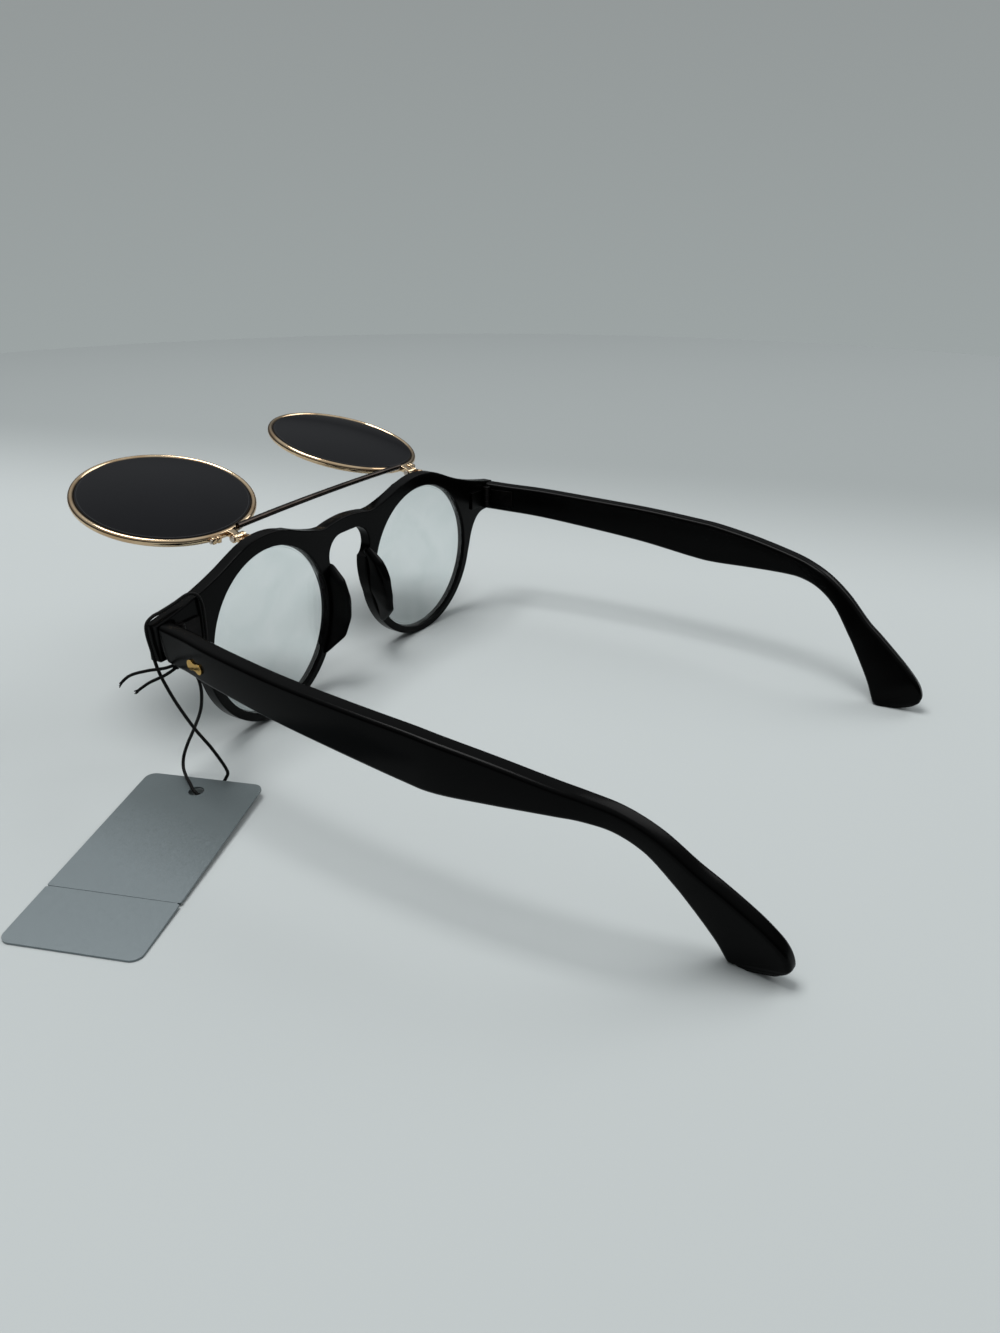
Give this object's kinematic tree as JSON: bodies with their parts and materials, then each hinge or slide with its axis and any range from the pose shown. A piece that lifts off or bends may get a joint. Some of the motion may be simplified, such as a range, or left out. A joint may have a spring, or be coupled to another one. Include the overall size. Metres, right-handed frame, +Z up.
{
  "type": "flip up sunglasses",
  "caption": "Round black sunglasses with clear lenses and a second pair of dark lenses in thin gold rims that flips up on small brow hinges; folding temples; blank swing tag.",
  "frame": {"origin": "on the table, under the middle of the object's bounding box, measured without the tag and its cord", "axes": "+X to the wearer's left, +Y from the front towards the temple tips, +Z up; the front stands on the bottoms of its two rims and the temples on their tips"},
  "size_m": [0.2075, 0.2039, 0.0631],
  "materials": {
    "black_acetate": "black acetate, satin",
    "clear_lens": "clear, polished",
    "dark_lens": "dark grey tint, polished",
    "pale_gold": "pale rose gold plating, polished",
    "screw_steel": "plated, turned",
    "black_steel": "hinge steel, blackened, worn bright at its edges",
    "core_steel": "plain wire, hidden in the temple",
    "card": "uncoated grey card",
    "cord": "black round cord"
  },
  "bodies": {
    "front": {"front_frame": "black_acetate", "clear_lens_left": "clear_lens", "clear_lens_right": "clear_lens", "front_hinge_left": "black_steel", "front_hinge_right": "black_steel", "hinge_screw_left": "screw_steel", "hinge_screw_right": "screw_steel", "flip_bracket_left": "pale_gold", "flip_bracket_right": "pale_gold", "bracket_screw_left": "screw_steel", "bracket_screw_right": "screw_steel", "flip_pin_left": "screw_steel", "flip_pin_right": "screw_steel", "swing_tag": "card", "tag_cord": "cord", "tag_knot": "cord", "tag_tail_a": "cord", "tag_tail_b": "cord"},
    "flip_up": {"flip_rim_left": "pale_gold", "flip_rim_right": "pale_gold", "dark_lens_left": "dark_lens", "dark_lens_right": "dark_lens", "flip_knuckle_left": "pale_gold", "flip_knuckle_right": "pale_gold", "rim_screw_left": "screw_steel", "rim_screw_right": "screw_steel", "flip_bar": "pale_gold"},
    "left_temple": {"temple_left": "black_acetate", "temple_core_left": "core_steel", "temple_hinge_left": "black_steel", "temple_plate_left": "pale_gold"},
    "right_temple": {"temple_right": "black_acetate", "temple_core_right": "core_steel", "temple_hinge_right": "black_steel", "temple_plate_right": "pale_gold"}
  },
  "joints": [
    {"name": "flip_hinge", "type": "hinge", "parent": "front", "child": "flip_up", "pos_m": [-0.00126, -0.05265, 0.0503], "axis": [1, 0, 0], "range_deg": [0, 104]},
    {"name": "left_temple_hinge", "type": "hinge", "parent": "front", "child": "left_temple", "pos_m": [0.06554, -0.04344, 0.0361], "axis": [0, 0, 1], "range_deg": [0, 88.5]},
    {"name": "right_temple_hinge", "type": "hinge", "parent": "front", "child": "right_temple", "pos_m": [-0.06806, -0.04344, 0.0361], "axis": [0, 0, -1], "range_deg": [0, 72]}
  ]
}
